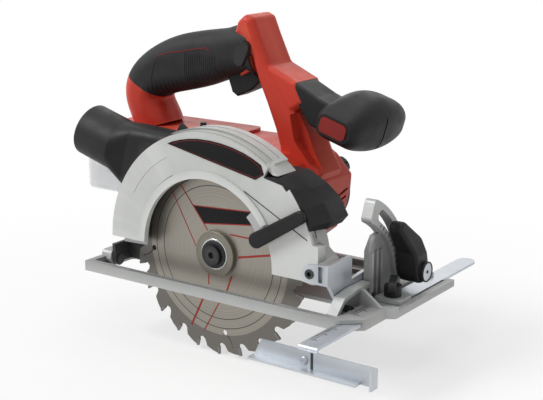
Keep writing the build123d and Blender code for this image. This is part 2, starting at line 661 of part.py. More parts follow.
def make_spindle():
    """Stepped output shaft, bored for the blade bolt."""
    shaft = rod_y(0, 0, 6, -0.4, 4.6) + rod_y(0, 0, 7.5, 4.6, 36.2) + rod_y(0, 0, 6, 36.2, 41)
    return shaft - rod_y(0, 0, 4.05, -1, 20)


def make_inner_flange():
    """Blade seat with a locating boss."""
    flange = rod_y(0, 0, 17, BLADE_T / 2, 4.5) + rod_y(0, 0, BLADE_BORE_R - 0.05, -0.4, BLADE_T)
    return flange - rod_y(0, 0, 6.03, -1, 5)


def make_outer_flange():
    """Outer clamping washer."""
    flange = soften_y(slab(Circle(18), -4.2, -BLADE_T / 2), 0.5)
    return flange - rod_y(0, 0, 4.1, -6, 0) - rod_y(0, 0, 6.2, -0.8, 0)


def make_blade_bolt():
    """Flanged bolt with a hexagon socket that holds the blade."""
    bolt = rod_y(0, 0, 4, -4.2, 17) + rod_y(0, 0, 10.8, -6.0, -4.2) + rod_y(0, 0, 7.8, -8.4, -6.0)
    return bolt - slab(RegularPolygon(2.9, 6), -9, -4)


def make_spindle_bearings():
    """Front and rear ball bearings of the spindle."""
    front = slab(ring(7.52, 14), 4.8, 12.8)
    rear = slab(ring(6.02, 11), 36.3, 40.6)
    return Compound([front, rear])


def gearcase_outline(grow):
    """Outline that holds the spindle gear and the motor's nose."""
    return bar(0, 0, 24.2 + grow, 0, MOTOR_Z, 31 + grow)


def make_gear_housing():
    """Cast gear case with the snout that carries the front bearing and the lower guard."""
    case = slab(gearcase_outline(0), GUARD_Y1, GEARCASE_Y1) + rod_y(0, 0, HUB_R, 2.4, GUARD_Y1 + 1)
    cavity = Circle(22.2) + bar(0, 0, 8, 0, MOTOR_Z, 8)
    case -= slab(cavity, 16, GEARCASE_Y1 + 1) + rod_y(0, 0, 14.05, 0, 17) + rod_y(0, 0, 17.6, 0, 4.7)
    case -= rod_x(LOCK_Y, LOCK_Z, 3 + RUN, 15, 40)
    for x, z in GEAR_SCREWS:
        case -= rod_y(x, z, 2.02, GEARCASE_Y1 - 12, GEARCASE_Y1 + 1)
    return case


def make_gear_cover():
    """Plate that closes the gear case and seats the rear bearings."""
    start, end = GEARCASE_Y1 - 1, GEAR_COVER_Y1 + 1
    cover = slab(gearcase_outline(0), GEARCASE_Y1, GEAR_COVER_Y1)
    cover -= rod_y(0, 0, 11.05, start, end) + rod_y(0, MOTOR_Z, 9.05, start, end)
    for x, z in GEAR_SCREWS:
        cover -= rod_y(x, z, 2.02, start, end)
    return cover


def make_spindle_lock_button():
    """Push button that stops the spindle for a blade change."""
    return rod_x(LOCK_Y, LOCK_Z, 3, 23.2, 35) + rod_x(LOCK_Y, LOCK_Z, 7, 34.5, 39.5)


# Motor


def make_rotor_shaft():
    """Motor shaft from the pinion to the end cap."""
    return rod_y(0, MOTOR_Z, 2.5, 18, 34) + rod_y(0, MOTOR_Z, 3, 34, 141.4)


def make_armature():
    """Laminated core with winding slots, and the commutator."""
    core = Circle(22.5)
    for slot in range(12):
        core -= Rot(0, 0, slot * 30) * bar(16, 0, 1.6, 24, 0, 1.2)
    core -= Circle(3.02)
    segments = ring(3.02, 9)
    shift = Pos(0, MOTOR_Z)
    return Compound([slab(shift * core, 64, 106), slab(shift * segments, 126, 138)])


def make_fan():
    """Cooling fan: a hub, a back disc and blades."""
    fan = slab(ring(3.02, 7), 44, 52) + slab(ring(6, 26), 44, 45.6)
    for blade in range(9):
        fan += slab(Rot(0, 0, blade * 40) * bar(7.5, 0, 0.7, 25, 3, 0.7), 45, 51.5)
    return Pos(0, 0, MOTOR_Z) * fan


def make_rotor_bearings():
    """Ball bearings at both ends of the rotor shaft."""
    shift = Pos(0, MOTOR_Z)
    front = slab(shift * ring(3.02, 9), 36.4, 40.8)
    rear = slab(shift * ring(3.02, 8), 138.6, 141.4)
    return Compound([front, rear])


def make_motor_can():
    """Steel can that carries the magnets."""
    shift = Pos(0, MOTOR_Z)
    can = slab(shift * ring(27.6, CASE_R - CASE_WALL - 0.4), 56, 118)
    return can + slab(shift * ring(12, 28), 56, 57.5)


def make_motor_magnets():
    """Two curved field magnets."""
    magnets = []
    for start in (20, 200):
        magnets.append(slab(Pos(0, MOTOR_Z) * sector(23.4, 27.5, start, start + 140), 62, 108))
    return Compound(magnets)


def make_motor_housing():
    """Red sleeve round the motor, with slanted air slots at its end."""
    shift = Pos(0, MOTOR_Z)
    sleeve = slab(shift * ring(CASE_R - CASE_WALL, CASE_R), CASE_Y0, CASE_Y1)
    for angle in (-24, -8, 8):
        slot = Rot(0, -angle, 0) * block(CASE_R - 6, CASE_R + 6, 96, 120, -2, 2)
        sleeve -= Pos(0, 0, MOTOR_Z) * slot
    return sleeve


def make_motor_cap():
    """End cap of the motor with brush wells and a bearing seat."""
    cap = soften_far(slab(Circle(CASE_R), CASE_Y1, CAP_Y1), 5)
    cap -= slab(Circle(CASE_R - CASE_WALL), CASE_Y1 - 1, 138.4)
    cap -= slab(Circle(8.05), 138, 141.5)
    cap = Pos(0, 0, MOTOR_Z) * cap
    for angle in (BRUSH_ANGLE, BRUSH_ANGLE + 180):
        cap -= brush_rod(7.02, CASE_R - 8, CASE_R + 6, angle)
    return cap


def brush_rod(r, from_r, to_r, angle):
    """Rod that points out from the motor's axis at the brushes."""
    rod = rod_x(BRUSH_Y, 0, r, from_r, to_r)
    return Pos(0, 0, MOTOR_Z) * (Rot(0, -angle, 0) * rod)


def make_brushes():
    """Two carbon brushes on the commutator."""
    brushes = []
    for angle in (BRUSH_ANGLE, BRUSH_ANGLE + 180):
        carbon = block(9.4, 25, BRUSH_Y - 3, BRUSH_Y + 3, -2.5, 2.5)
        brushes.append(Pos(0, 0, MOTOR_Z) * (Rot(0, -angle, 0) * carbon))
    return Compound(brushes)


def make_brush_caps():
    """Screw caps over the brushes."""
    caps = []
    for angle in (BRUSH_ANGLE, BRUSH_ANGLE + 180):
        slot = block(CASE_R + 4.5, CASE_R + 8, BRUSH_Y - 6, BRUSH_Y + 6, -0.7, 0.7)
        turned = Pos(0, 0, MOTOR_Z) * (Rot(0, -angle, 0) * slot)
        caps.append(brush_rod(7, 26, CASE_R + 5.5, angle) - turned)
    return Compound(caps)


# Handle


def grip_loft(shrink):
    """Grip and rear leg, drawn in by the given wall."""
    faces = []
    for x, z, heading, high, wide in GRIP_STATIONS:
        way = (cos(radians(heading)), 0, sin(radians(heading)))
        plane = Plane(origin=(x, HANDLE_Y, z), x_dir=(0, 1, 0), z_dir=way)
        w, h = wide - 2 * shrink, high - 2 * shrink
        faces.append(plane * RectangleRounded(w, h, 0.42 * min(w, h)))
    return loft(faces)


def grip_zone():
    """Half space that the soft grip covers, in front of a slanted line at the rear."""
    return slab(polygon((-150, 134), (-88, 101), (-20, 90), (40, 90), (40, 200), (-150, 200)), 0, 120)


def column_solid(wall):
    """Slanted front column and the body below it, drawn in by the given wall."""
    column = polygon(*COLUMN)
    column = fillet(column.vertices().sort_by(Axis.Y)[-3:], 5)
    outlines = (
        (column, COLUMN_Y0, COLUMN_Y1, 6),
        (soft_polygon(3, *BODY), BODY_Y0, BODY_Y1, 4),
        (polygon(*SHOULDER), SHOULDER_Y0, SHOULDER_Y1, 4),
        (soft_polygon(2, *CHEEK), CHEEK_Y0, BODY_Y1, 3),
    )
    solid = None
    for outline, y0, y1, edge in outlines:
        if wall:
            piece = slab(offset(outline, -wall), y0 + wall, y1 - wall)
        else:
            piece = soften_y(slab(outline, y0, y1), edge)
        solid = piece if solid is None else solid + piece
    pocket = offset(polygon(*POCKET), wall) if wall else polygon(*POCKET)
    return solid - slab(pocket, COLUMN_Y0 - 1, COLUMN_Y0 + POCKET_DEPTH + wall)


def foot_solid(wall):
    """Battery foot below the grip, drawn in by the given wall."""
    x0, x1 = FOOT_X0 + wall, FOOT_X1 - wall
    foot = block(x0, x1, FOOT_Y0 + wall, FOOT_Y1 - wall, FOOT_Z0 + wall, FOOT_Z1 - wall)
    return foot if wall else fillet(foot.edges().filter_by(Axis.Z), 8)


def battery_rails():
    """Two hooked rails that the battery slides on."""
    rails = None
    for side in (-1, 1):
        web = block(FOOT_X0 + 4, PACK_X1 - 5, 25.0, 29.0, 63, FOOT_Z0)
        hook = block(FOOT_X0 + 4, PACK_X1 - 5, 21.8, 29.0, 63, 66)
        rail = web + hook
        rail = rail if side > 0 else mirror(rail, about=Plane.XZ)
        rails = rail if rails is None else rails + rail
    return Pos(0, HANDLE_Y, 0) * rails


def button_outline(grow):
    """Lock-off button seen from the side."""
    return Pos(BUTTON_X, BUTTON_Z) * (Rot(0, 0, 65) * SlotOverall(20 + 2 * grow, 9 + 2 * grow))


def handle_openings():
    """Trigger slot and lock-off button hole."""
    half_y = TRIGGER_HALF + 0.5
    slot = block(TRIGGER_X0 - 0.5, TRIGGER_X1 + 0.5, HANDLE_Y - half_y, HANDLE_Y + half_y, 108, 141)
    hole = slab(button_outline(0.4), 30, 52)
    return slot + hole


def make_housing():
    """Both red housing shells in one, before they are split."""
    outer = grip_loft(SHELL) & grip_zone()
    outer += grip_loft(0) - grip_zone()
    outer += column_solid(0) + foot_solid(0)
    inner = grip_loft(2 * SHELL) + column_solid(SHELL) + foot_solid(SHELL)
    housing = outer - inner + battery_rails()
    housing -= slab(gearcase_outline(0.5), 10, CASE_Y0)
    housing -= rod_y(0, MOTOR_Z, CASE_R + 0.3, CASE_Y0 - 1, CAP_Y1 + 2)
    vent = Rot(VENT_SLANT, 0, 0) * block(50, 72, -VENT_HALF, VENT_HALF, -1.2, 1.2)
    for z in VENT_Z:
        housing -= Pos(0, VENT_Y, z) * vent
    return housing - handle_openings()


def make_grip():
    """Both soft grip halves in one, before they are split."""
    grip = (grip_loft(0) & grip_zone()) - grip_loft(SHELL)
    return grip - column_solid(0) - handle_openings()


def half(solid, side):
    """Half of a solid on one side of the handle's middle plane."""
    y0, y1 = (-50, HANDLE_Y) if side < 0 else (HANDLE_Y, 250)
    return solid & block(-300, 300, y0, y1, -200, 300)


def make_trigger():
    """Finger trigger under the front of the grip."""
    x0, x1 = TRIGGER_X0, TRIGGER_X1
    outline = polygon((x0, 127), (x0 + 4, 116), (x0 + 9, 113), (x1 - 8, 119), (x1, 126), (x1, 135), (x0, 135))
    return soften_y(slab(outline, HANDLE_Y - TRIGGER_HALF, HANDLE_Y + TRIGGER_HALF), 1.5)


def make_lock_off_button():
    """Side button that frees the trigger."""
    return slab(button_outline(0), HANDLE_Y - 21.5, HANDLE_Y - 11)


def make_switch_block():
    """Electric switch inside the grip."""
    return block(-34, -3, HANDLE_Y - 8, HANDLE_Y + 8, 141.5, 155)


def make_terminal_block():
    """Battery contact carrier below the foot."""
    return block(PACK_X1 + 0.8, PACK_X1 + 7, HANDLE_Y - 18, HANDLE_Y + 18, 46, FOOT_Z0)


def make_gear_screws():
    """Screws that hold the gear cover to the gear case."""
    y = GEAR_COVER_Y1
    screws = []
    for x, z in GEAR_SCREWS:
        screws.append(rod_y(x, z, 2, GEARCASE_Y1 - 11, y) + rod_y(x, z, 3.6, y, y + 2.4))
    return Compound(screws)


def make_hex_key():
    """Hexagon key clipped to the side of the foot, with its short arm up."""
    r = 2.5
    y = BODY_Y0 - r
    return rod_x(y, KEY_Z, r, -84, KEY_X) + rod_z(KEY_X - r, y, r, KEY_Z - r, KEY_Z + 16)


# Front handle


def bulb_solid():
    """Barrel-shaped cross handle."""
    faces = []
    for y, x, z, length, high in BULB_STATIONS:
        plane = Plane(origin=(x, y, z), x_dir=(1, 0, 0), z_dir=(0, 1, 0))
        faces.append(plane * (Rot(0, 0, BULB_LEAN) * RectangleRounded(length, high, 0.4 * min(length, high))))
    return loft(faces)


def make_front_handle():
    """Near half of the front handle with the neck that joins the column."""
    neck = polygon((40, 123), (43.3, 130.3), (62, 121), (80, 114), (84, 94), (70, 94), (56, 99), (46, 112))
    arm = soften_y(slab(neck, SHOULDER_Y0 + 0.5, SEAM_Y), 2)
    return (bulb_solid() + arm - column_solid(0)) & block(-50, 200, 0, SEAM_Y, 0, 300)


def make_front_handle_cap():
    """Far half of the front handle."""
    return bulb_solid() & block(-50, 200, SEAM_Y, 200, 0, 300)


def make_front_handle_insert():
    """Red panel on the near end of the front handle."""
    y, x, z = BULB_STATIONS[0][:3]
    return slab(Pos(x, z) * (Rot(0, 0, -BULB_LEAN) * RectangleRounded(23, 12, 3.5)), y - 1, y)


# Clamps and battery


def make_depth_bolt():
    """Carriage bolt that clamps the depth bracket."""
    bolt = rod_y(DEPTH_BOLT_X, DEPTH_BOLT_Z, PIN_R, GUARD_Y1 - GUARD_WALL, 30.5)
    head = rod_y(DEPTH_BOLT_X, DEPTH_BOLT_Z, 7, 7.2, GUARD_Y1 - GUARD_WALL)
    return bolt + head + rod_y(DEPTH_BOLT_X, DEPTH_BOLT_Z, 6.5, 28.6, 32)


def make_depth_lever():
    """Clamp lever on the depth bolt, under the battery."""
    x, z = DEPTH_BOLT_X, DEPTH_BOLT_Z
    outline = bar(x, z, 9, x - 12, z - 3, 7) + bar(x - 12, z - 3, 6, x - 42, z - 14, 5)
    lever = soften_y(slab(outline, ARC_Y1 + 0.6, 28), 1.5)
    return lever - rod_y(x, z, PIN_R + RUN, ARC_Y1, 30)


def pack_shell(wall):
    """Battery case drawn in by the given wall."""
    x0, x1 = PACK_X0 + wall, PACK_X1 - wall
    case = block(x0, x1, PACK_Y0 + wall, PACK_Y1 - wall, PACK_Z0 + wall, PACK_Z1 - wall)
    return fillet(case.edges(), PACK_CORNER - wall)


def make_battery_lower_shell():
    """Lower half of the battery case."""
    shell = pack_shell(0) - pack_shell(PACK_WALL)
    return shell & block(-300, 0, -50, 200, 0, PACK_SPLIT_Z)


def make_battery_upper_shell():
    """Upper half of the battery case with the slide flange."""
    shell = pack_shell(0) - pack_shell(PACK_WALL)
    neck = block(PACK_X0 + 14, PACK_X1, HANDLE_Y - 21.4, HANDLE_Y + 21.4, PACK_Z1 - PACK_WALL, 71.6)
    flange = block(PACK_X0 + 14, PACK_X1, HANDLE_Y - 24.6, HANDLE_Y + 24.6, 66.4, 71.6)
    shell += neck + flange
    shell += block(PACK_X0 + 1, PACK_X0 + 7, HANDLE_Y - 14, HANDLE_Y + 14, 48, 60)
    shell -= block(PACK_X0 - 1, PACK_X0 + 6, HANDLE_Y - 12.4, HANDLE_Y + 12.4, 49.6, 59)
    return shell & block(-300, 0, -50, 200, PACK_SPLIT_Z, 100)


def make_battery_cells():
    """Ten round cells in two staggered rows."""
    pitch = 2 * CELL_R + 0.3
    cells = []
    for row in range(2):
        for column in range(5):
            x = PACK_X0 + PACK_WALL + 2 + CELL_R + (column + row / 2) * pitch
            z = PACK_Z0 + PACK_WALL + 0.2 + CELL_R + row * pitch * sin(radians(60))
            cells.append(rod_y(x, z, CELL_R, HANDLE_Y - CELL_LEN / 2, HANDLE_Y + CELL_LEN / 2))
    return Compound(cells)


def make_battery_latch():
    """Release button on the rear of the battery."""
    return block(PACK_X0 - 0.5, PACK_X0 + 2.8, HANDLE_Y - 12, HANDLE_Y + 12, 50, 58.6)


def all_parts():
    """Every piece by name, in the working frame."""
    housing = make_housing()
    grip = make_grip()
    parts = {
        "housing_right": half(housing, -1),
        "housing_left": half(housing, 1),
        "grip_right": half(grip, -1),
        "grip_left": half(grip, 1),
    }
    makers = (
        make_shoe, make_bevel_quadrant, make_quadrant_screws, make_bevel_pivot_pins, make_tilt_bracket,
        make_depth_bracket, make_bevel_bolt, make_bevel_lever, make_depth_pivot_pin, make_fence_bar,
        make_fence_plate, make_fence_knob, make_upper_guard, make_front_cover, make_dust_port,
        make_lower_guard, make_guard_lever, make_guard_spring, make_guard_retaining_ring, make_saw_blade,
        make_carbide_tips, make_inner_flange, make_outer_flange, make_blade_bolt, make_spindle,
        make_drive_gear, make_spindle_bearings, make_gear_housing, make_gear_cover,
        make_spindle_lock_button, make_pinion, make_rotor_shaft, make_armature, make_fan,
        make_rotor_bearings, make_motor_can, make_motor_magnets, make_motor_housing, make_motor_cap,
        make_brushes, make_brush_caps, make_gear_screws, make_front_handle, make_front_handle_cap,
        make_front_handle_insert, make_trigger, make_lock_off_button, make_switch_block,
        make_terminal_block, make_hex_key, make_depth_bolt, make_depth_lever, make_battery_lower_shell,
        make_battery_upper_shell, make_battery_cells, make_battery_latch,
    )
    for maker in makers:
        parts[maker.__name__.removeprefix("make_")] = maker()
    return parts


def main():
    """Write every piece to its own file in the object's frame."""
    os.makedirs("parts", exist_ok=True)
    frame = Pos(0, -SHOE_MID_Y, -SOLE_Z)
    for name, solid in all_parts().items():
        export_step(frame * solid, f"parts/{name}.step")


if __name__ == "__main__":
    main()
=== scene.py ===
import json
from math import cos, radians, sin

import bmesh
import bpy
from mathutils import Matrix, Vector


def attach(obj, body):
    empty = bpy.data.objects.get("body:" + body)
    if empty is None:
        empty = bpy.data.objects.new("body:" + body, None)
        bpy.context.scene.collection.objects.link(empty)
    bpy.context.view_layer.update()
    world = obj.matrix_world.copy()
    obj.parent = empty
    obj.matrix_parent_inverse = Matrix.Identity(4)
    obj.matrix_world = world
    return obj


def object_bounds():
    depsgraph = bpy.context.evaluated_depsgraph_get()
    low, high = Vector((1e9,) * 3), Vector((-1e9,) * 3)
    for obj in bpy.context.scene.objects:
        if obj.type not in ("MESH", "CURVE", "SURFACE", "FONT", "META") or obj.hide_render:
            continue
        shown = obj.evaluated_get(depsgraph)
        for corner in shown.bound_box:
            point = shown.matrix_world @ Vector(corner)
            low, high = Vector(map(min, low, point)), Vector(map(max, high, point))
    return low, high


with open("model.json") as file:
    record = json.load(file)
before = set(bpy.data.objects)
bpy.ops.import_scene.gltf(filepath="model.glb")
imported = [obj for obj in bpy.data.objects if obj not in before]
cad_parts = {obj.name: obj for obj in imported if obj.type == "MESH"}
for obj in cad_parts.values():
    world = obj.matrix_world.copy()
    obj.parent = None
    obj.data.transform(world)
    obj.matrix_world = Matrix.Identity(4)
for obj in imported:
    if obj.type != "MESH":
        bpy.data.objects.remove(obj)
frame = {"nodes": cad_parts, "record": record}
cad_low, cad_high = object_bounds()
nodes = frame["nodes"]

# Offset from the blade's centre to the object's frame, in metres.
ARBOR = Vector((0.0, -0.042, 0.0285))


def at(x, y, z):
    """Point given in millimetres from the blade's centre, in the object's frame."""
    return Vector((x, y, z)) / 1000 + ARBOR


# Materials


def new_material(name):
    """Empty material with its shader and a coordinate source."""
    material = bpy.data.materials.new(name)
    material.use_nodes = True
    tree = material.node_tree
    shader = tree.nodes["Principled BSDF"]
    coords = tree.nodes.new("ShaderNodeTexCoord").outputs["Object"]
    return material, tree, shader, coords


def noise(tree, coords, scale, detail=3.0):
    """Grey noise at a scale per metre."""
    node = tree.nodes.new("ShaderNodeTexNoise")
    node.inputs["Scale"].default_value = scale
    node.inputs["Detail"].default_value = detail
    tree.links.new(coords, node.inputs["Vector"])
    return node.outputs["Fac"]


def remap(tree, value, low, high, start=0.3, end=0.7):
    """Value brought from one range to another."""
    node = tree.nodes.new("ShaderNodeMapRange")
    node.inputs["From Min"].default_value = start
    node.inputs["From Max"].default_value = end
    node.inputs["To Min"].default_value = low
    node.inputs["To Max"].default_value = high
    tree.links.new(value, node.inputs["Value"])
    return node.outputs["Result"]


def two_tone(tree, factor, first, second):
    """Colour between two colours by a factor."""
    node = tree.nodes.new("ShaderNodeMix")
    node.data_type = "RGBA"
    node.inputs["A"].default_value = (*first, 1)
    node.inputs["B"].default_value = (*second, 1)
    tree.links.new(factor, node.inputs["Factor"])
    return node.outputs["Result"]


def overlay(tree, factor, base, colour):
    """A colour laid over a linked base by a factor."""
    node = tree.nodes.new("ShaderNodeMix")
    node.data_type = "RGBA"
    node.inputs["B"].default_value = (*colour, 1)
    tree.links.new(base, node.inputs["A"])
    tree.links.new(factor, node.inputs["Factor"])
    return node.outputs["Result"]


def math_node(tree, operation, first, second):
    """Arithmetic on linked values or numbers."""
    node = tree.nodes.new("ShaderNodeMath")
    node.operation = operation
    for socket, value in zip(node.inputs, (first, second)):
        if isinstance(value, (int, float)):
            socket.default_value = value
        else:
            tree.links.new(value, socket)
    return node.outputs["Value"]


def bump(tree, shader, height, distance, strength=0.5):
    """Height on the shader's normal, with its depth in metres."""
    node = tree.nodes.new("ShaderNodeBump")
    node.inputs["Strength"].default_value = strength
    node.inputs["Distance"].default_value = distance
    tree.links.new(height, node.inputs["Height"])
    tree.links.new(node.outputs["Normal"], shader.inputs["Normal"])


def painted_edge_highlight(tree, base, colour, amount):
    """Painted highlight: lighter colour along convex edges."""
    point = tree.nodes.new("ShaderNodeNewGeometry").outputs["Pointiness"]
    edge = remap(tree, point, 0.0, amount, 0.52, 0.62)
    return overlay(tree, edge, base, colour)


def surface(name, colour, rough, metal=0.0, grain=1500.0, depth=0.00004, vary=0.12, edge=None, shine=0.5):
    """Solid material with tone drift, grain and uneven gloss, and a painted highlight along convex edges
    where an edge colour is given.
    """
    material, tree, shader, coords = new_material(name)
    dark = tuple(c * (1 - vary) for c in colour)
    light = tuple(min(1.0, c * (1 + vary)) for c in colour)
    base = two_tone(tree, remap(tree, noise(tree, coords, 35.0), 0, 1), dark, light)
    if edge:
        # Painted highlight: the edge colour is laid along convex edges
        base = painted_edge_highlight(tree, base, edge, 0.6)
    tree.links.new(base, shader.inputs["Base Color"])
    gloss = remap(tree, noise(tree, coords, 120.0, 4.0), rough - 0.06, rough + 0.06)
    tree.links.new(gloss, shader.inputs["Roughness"])
    shader.inputs["Metallic"].default_value = metal
    shader.inputs["Specular IOR Level"].default_value = shine
    bump(tree, shader, noise(tree, coords, grain, 2.0), depth)
    return material


# Radii on the blade, in metres: the ground disc's edge and the printed circles
DISC_EDGE = 0.066
PRINTED_CIRCLES = (0.053, 0.0605)


def blade_material():
    """Ground disc with a darker toothed rim, concentric grinding marks and two thin printed circles."""
    material, tree, shader, coords = new_material("blade_steel")
    shift = tree.nodes.new("ShaderNodeVectorMath")
    shift.operation = "SUBTRACT"
    shift.inputs[1].default_value = ARBOR
    tree.links.new(coords, shift.inputs[0])
    flat = tree.nodes.new("ShaderNodeVectorMath")
    flat.operation = "MULTIPLY"
    flat.inputs[1].default_value = (1, 0, 1)
    tree.links.new(shift.outputs["Vector"], flat.inputs[0])
    length = tree.nodes.new("ShaderNodeVectorMath")
    length.operation = "LENGTH"
    tree.links.new(flat.outputs["Vector"], length.inputs[0])
    radius = length.outputs["Value"]
    rings = tree.nodes.new("ShaderNodeTexNoise")
    rings.noise_dimensions = "1D"
    rings.inputs["Scale"].default_value = 1500.0
    tree.links.new(radius, rings.inputs["W"])
    tone = remap(tree, rings.outputs["Fac"], 0, 1)
    base = two_tone(tree, tone, (0.27, 0.25, 0.215), (0.36, 0.335, 0.29))
    rim = remap(tree, radius, 0, 1, DISC_EDGE - 0.0005, DISC_EDGE + 0.0005)
    base = overlay(tree, rim, base, (0.17, 0.16, 0.145))
    for circle in PRINTED_CIRCLES:
        away = math_node(tree, "ABSOLUTE", math_node(tree, "SUBTRACT", radius, circle), 0)
        base = overlay(tree, remap(tree, away, 0.85, 0, 0.0002, 0.0006), base, (0.05, 0.05, 0.05))
    tree.links.new(base, shader.inputs["Base Color"])
    shader.inputs["Metallic"].default_value = 0.8
    tree.links.new(remap(tree, rings.outputs["Fac"], 0.3, 0.45), shader.inputs["Roughness"])
    bump(tree, shader, rings.outputs["Fac"], 0.00003)
    return material


# Top of the grip's ribbed underside, in metres, and how steeply it rises towards the front
RIBBED_TOP = 0.17
RIBBED_RISE = 0.26


def grip_material():
    """Soft overmould with moulded ribs across its underside, and a painted highlight along its convex edges.
    """
    material, tree, shader, coords = new_material("black_rubber")
    tone = remap(tree, noise(tree, coords, 60.0), 0, 1)
    base = two_tone(tree, tone, (0.012, 0.012, 0.013), (0.024, 0.024, 0.026))
    # Painted highlight along the grip's convex edges
    tree.links.new(painted_edge_highlight(tree, base, (0.06, 0.06, 0.062), 0.5), shader.inputs["Base Color"])
    shader.inputs["Roughness"].default_value = 0.62
    shader.inputs["Specular IOR Level"].default_value = 0.25
    ribs = tree.nodes.new("ShaderNodeTexWave")
    ribs.wave_type = "BANDS"
    ribs.bands_direction = "X"
    ribs.inputs["Scale"].default_value = 75.0
    ribs.inputs["Distortion"].default_value = 0.0
    tree.links.new(coords, ribs.inputs["Vector"])
    place = tree.nodes.new("ShaderNodeSeparateXYZ")
    tree.links.new(coords, place.inputs["Vector"])
    rise = math_node(tree, "MULTIPLY", place.outputs["X"], RIBBED_RISE)
    height = math_node(tree, "SUBTRACT", place.outputs["Z"], rise)
    underside = remap(tree, height, 1, 0, RIBBED_TOP - 0.002, RIBBED_TOP + 0.002)
    grain = math_node(tree, "MULTIPLY", noise(tree, coords, 1800.0, 2.0), 0.12)
    moulded = math_node(tree, "MULTIPLY", ribs.outputs["Fac"], underside)
    bump(tree, shader, math_node(tree, "ADD", moulded, grain), 0.0006)
    return material


def frosted_material():
    """Pale see-through case plastic."""
    material, tree, shader, coords = new_material("frosted_plastic")
    tone = remap(tree, noise(tree, coords, 40.0), 0, 1)
    base = two_tone(tree, tone, (0.88, 0.89, 0.9), (0.95, 0.96, 0.97))
    tree.links.new(base, shader.inputs["Base Color"])
    shader.inputs["Roughness"].default_value = 0.55
    shader.inputs["Alpha"].default_value = 0.5
    bump(tree, shader, noise(tree, coords, 1500.0, 2.0), 0.00003)
    return material


# The edge colours below are painted highlights along convex edges
LOOKS = {
    "red_plastic": surface("red_plastic", (0.55, 0.042, 0.022), 0.42, vary=0.06,
                           edge=(0.66, 0.1, 0.05), shine=0.28),
    "black_plastic": surface("black_plastic", (0.012, 0.012, 0.0125), 0.5, grain=2200.0, vary=0.25,
                             edge=(0.04, 0.04, 0.042), shine=0.22),
    "black_rubber": grip_material(),
    "frosted_plastic": frosted_material(),
    "cell_wrap": surface("cell_wrap", (0.62, 0.64, 0.66), 0.4),
    "guard_paint": surface("guard_paint", (0.56, 0.57, 0.55), 0.48, 0.15, 900.0, 0.00006, 0.05,
                           edge=(0.72, 0.73, 0.71), shine=0.4),
    "cast_aluminium": surface("cast_aluminium", (0.31, 0.315, 0.31), 0.55, 0.35, 900.0, 0.00008, 0.08,
                              edge=(0.6, 0.61, 0.6), shine=0.4),
    "zinc_steel": surface("zinc_steel", (0.32, 0.345, 0.375), 0.38, 0.7, 900.0, 0.00002, 0.08,
                          edge=(0.7, 0.73, 0.77)),
    "blade_steel": blade_material(),
    "carbide": surface("carbide", (0.2, 0.2, 0.2), 0.4, 0.8),
    "black_steel": surface("black_steel", (0.014, 0.014, 0.016), 0.42, 0.2,
                           edge=(0.08, 0.08, 0.08), shine=0.3),
    "bright_steel": surface("bright_steel", (0.6, 0.61, 0.62), 0.25, 1.0),
    "dark_iron": surface("dark_iron", (0.1, 0.09, 0.08), 0.5, 0.6),
}
# Painted shade: a darker grey than the guard paint, for the hood's ridges
HOOD_PAINTED_SHADE = surface("hood_painted_shade", (0.3, 0.305, 0.295), 0.5, vary=0.05)
RED_PRINT = surface("red_print", (0.33, 0.035, 0.03), 0.5, vary=0.05, shine=0.2)
RED_THREAD = surface("red_thread", (0.2, 0.012, 0.01), 0.6, vary=0.05, shine=0.2)
# Painted shade: a darker red for the front handle's insert, whose downward-leaning end is lit less
INSERT_SHADE_RED = surface("insert_painted_shade", (0.24, 0.014, 0.01), 0.4, vary=0.1, shine=0.3)
DEEP_BLACK = surface("deep_black", (0.002, 0.002, 0.002), 0.8, shine=0.05)
FLANGE_STEEL = surface("flange_steel", (0.17, 0.155, 0.125), 0.42, 0.6, edge=(0.42, 0.4, 0.34))
LABEL_FILM = surface("label_film", (0.01, 0.01, 0.011), 0.42, grain=400.0, vary=0.2, shine=0.12)

for entry in frame["record"]["subparts"]:
    node = nodes[entry["node"]]
    node.data.materials.clear()
    node.data.materials.append(LOOKS[entry["material_slot"]])
# The insert gets the darker red as painted shade
nodes["front_handle_insert"].data.materials[0] = INSERT_SHADE_RED
nodes["outer_flange"].data.materials[0] = FLANGE_STEEL


# Softer edges on the solids, with widths in millimetres

EDGE_ANGLE = radians(40)
SMOOTH_ANGLE = radians(32)
BEVELS = {
    "shoe": 0.7, "bevel_quadrant": 0.8, "tilt_bracket": 0.5, "depth_bracket": 0.5, "upper_guard": 0.9,
    "front_cover": 0.8, "fence_bar": 0.4, "fence_plate": 0.4, "fence_knob": 0.7, "battery_upper_shell": 0.5,
    "housing_right": 0.5, "housing_left": 0.5, "trigger": 0.5, "lock_off_button": 0.6, "motor_housing": 0.6,
    "gear_housing": 0.8, "lower_guard": 0.4, "blade_bolt": 0.4, "brush_caps": 0.6, "front_handle": 0.5,
    "front_handle_cap": 0.5, "dust_port": 0.6,
}
for name, width in BEVELS.items():
    node = nodes[name]
    modifier = node.modifiers.new("edges", "BEVEL")
    modifier.width = width / 1000
    modifier.segments = 2
    modifier.limit_method = "ANGLE"
    modifier.angle_limit = EDGE_ANGLE
    modifier.harden_normals = True
for node in nodes.values():
    for face in node.data.polygons:
        face.use_smooth = True
    with bpy.context.temp_override(object=node, selected_editable_objects=[node], selected_objects=[node]):
        bpy.ops.object.shade_auto_smooth(angle=SMOOTH_ANGLE)


# Helpers for the pieces of the scene

# Radii of the laid-on lines, in metres
PRINT_R = 0.00025
MARK_R = 0.0003
THREAD_R = 0.00035
CREASE_R = 0.0004
RIDGE_R = 0.0005
BRIDGE_R = 0.0015


def finish_piece(piece, body, material):
    """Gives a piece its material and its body."""
    piece.data.materials.append(material)
    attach(piece, body)
    return piece


def add_mesh(name, mesh_builder):
    """Object from a filled-in bmesh."""
    bm = bmesh.new()
    mesh_builder(bm)
    bmesh.ops.recalc_face_normals(bm, faces=bm.faces)
    mesh = bpy.data.meshes.new(name)
    bm.to_mesh(mesh)
    bm.free()
    piece = bpy.data.objects.new(name, mesh)
    bpy.context.scene.collection.objects.link(piece)
    return piece


